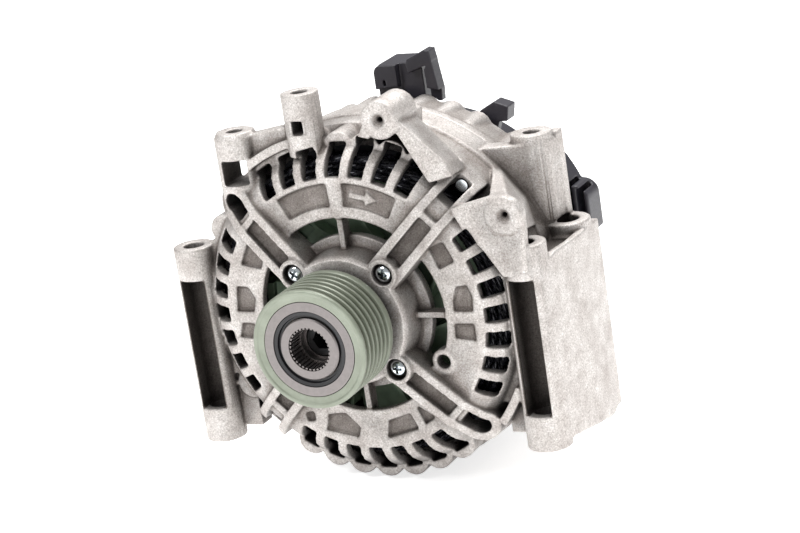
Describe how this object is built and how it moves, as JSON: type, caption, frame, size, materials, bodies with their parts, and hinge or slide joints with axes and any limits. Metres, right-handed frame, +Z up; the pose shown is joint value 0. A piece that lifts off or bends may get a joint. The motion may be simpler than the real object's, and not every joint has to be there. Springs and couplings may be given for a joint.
{
  "type": "car alternator",
  "caption": "Cast alternator with vented end brackets, claw-pole rotor, one-way ribbed belt pulley, brushes, rectifier, rear cover and long side bolt sleeves.",
  "frame": {"origin": "shaft axis at the belt line, the middle of the ribbed pulley", "axes": "-Y points out of the pulley along the shaft, +Z up along the side bolt sleeves, +X to the right seen from the pulley"},
  "size_m": [0.1714, 0.1592, 0.1681],
  "materials": {
    "cast_aluminium": "as-cast, matte",
    "pulley_green": "satin coated steel",
    "bearing_steel": "ground steel",
    "dark_steel": "oiled steel",
    "zinc_steel": "bright zinc",
    "rotor_green": "resin coated iron",
    "stator_iron": "laminated",
    "copper_enamel": "varnished copper",
    "copper": "bare copper",
    "black_plastic": "matte",
    "black_rubber": "matte",
    "cage_plastic": "matte",
    "carbon": "carbon"
  },
  "bodies": {
    "housing": {"front_bracket": "cast_aluminium", "rear_bracket": "cast_aluminium", "stator_core": "stator_iron", "stator_winding": "copper_enamel", "bearing_retainer": "dark_steel", "retainer_screws": "zinc_steel", "through_bolts": "zinc_steel", "front_bearing_outer_race": "bearing_steel", "rear_bearing_outer_race": "bearing_steel", "rear_bearing_sleeve": "black_plastic", "rectifier_plate_negative": "cast_aluminium", "rectifier_plate_positive": "cast_aluminium", "diodes_negative": "copper", "diodes_positive": "copper", "terminal_frame": "black_plastic", "rectifier_spacers": "bearing_steel", "brush_holder": "black_plastic", "regulator_heatsink": "cast_aluminium", "regulator_module": "black_plastic", "regulator_screws": "zinc_steel", "rear_cover": "black_plastic", "cover_screws": "zinc_steel", "plug_socket": "black_plastic", "plug_pins": "copper", "b_plus_stud": "zinc_steel", "b_plus_insulator": "black_plastic", "b_plus_nut": "zinc_steel", "harness_clip": "black_plastic", "brush_spring_front": "bearing_steel", "brush_spring_rear": "bearing_steel"},
    "rotor": {"rotor_shaft": "bearing_steel", "claw_pole_front": "rotor_green", "claw_pole_rear": "rotor_green", "rotor_core": "dark_steel", "field_bobbin": "cage_plastic", "field_winding": "copper_enamel", "front_fan": "rotor_green", "rear_fan": "rotor_green", "slip_ring_insulator": "black_plastic", "slip_rings": "copper", "front_bearing_inner_race": "bearing_steel", "rear_bearing_inner_race": "bearing_steel", "shaft_collar": "bearing_steel", "pulley_hub": "bearing_steel"},
    "pulley": {"pulley_rim": "pulley_green", "clutch_outer_race": "bearing_steel", "pulley_front_seal": "black_rubber", "pulley_rear_seal": "black_rubber"},
    "clutch": {"clutch_rollers": "bearing_steel", "clutch_cage": "cage_plastic"},
    "front_balls": {"front_bearing_balls": "bearing_steel", "front_bearing_cage": "cage_plastic"},
    "rear_balls": {"rear_bearing_balls": "bearing_steel", "rear_bearing_cage": "cage_plastic"},
    "front_brush": {"brush_front": "carbon"},
    "rear_brush": {"brush_rear": "carbon"}
  },
  "joints": [
    {"name": "rotor_spin", "type": "hinge", "parent": "housing", "child": "rotor", "pos_m": [0, 0, 0], "axis": [0, 1, 0], "continuous": true},
    {"name": "pulley_freewheel", "type": "hinge", "parent": "rotor", "child": "pulley", "pos_m": [0, 0, 0], "axis": [0, 1, 0], "continuous": true},
    {"name": "clutch_orbit", "type": "hinge", "parent": "rotor", "child": "clutch", "pos_m": [0, 0, 0], "axis": [0, 1, 0], "continuous": true},
    {"name": "front_ball_orbit", "type": "hinge", "parent": "housing", "child": "front_balls", "pos_m": [0, 0, 0], "axis": [0, 1, 0], "continuous": true},
    {"name": "rear_ball_orbit", "type": "hinge", "parent": "housing", "child": "rear_balls", "pos_m": [0, 0, 0], "axis": [0, 1, 0], "continuous": true},
    {"name": "front_brush_slide", "type": "slide", "parent": "housing", "child": "front_brush", "axis": [0, 0, 1], "range_m": [0, 0.005], "stiffness_N_per_m": 200, "springref_m": -0.01, "deforming": ["brush_spring_front"]},
    {"name": "rear_brush_slide", "type": "slide", "parent": "housing", "child": "rear_brush", "axis": [0, 0, 1], "range_m": [0, 0.005], "stiffness_N_per_m": 200, "springref_m": -0.01, "deforming": ["brush_spring_rear"]}
  ],
  "couplings": [
    {"joint": "clutch_orbit", "follows": "pulley_freewheel", "ratio": 0.556},
    {"joint": "front_ball_orbit", "follows": "rotor_spin", "ratio": 0.3783},
    {"joint": "rear_ball_orbit", "follows": "rotor_spin", "ratio": 0.3962}
  ]
}
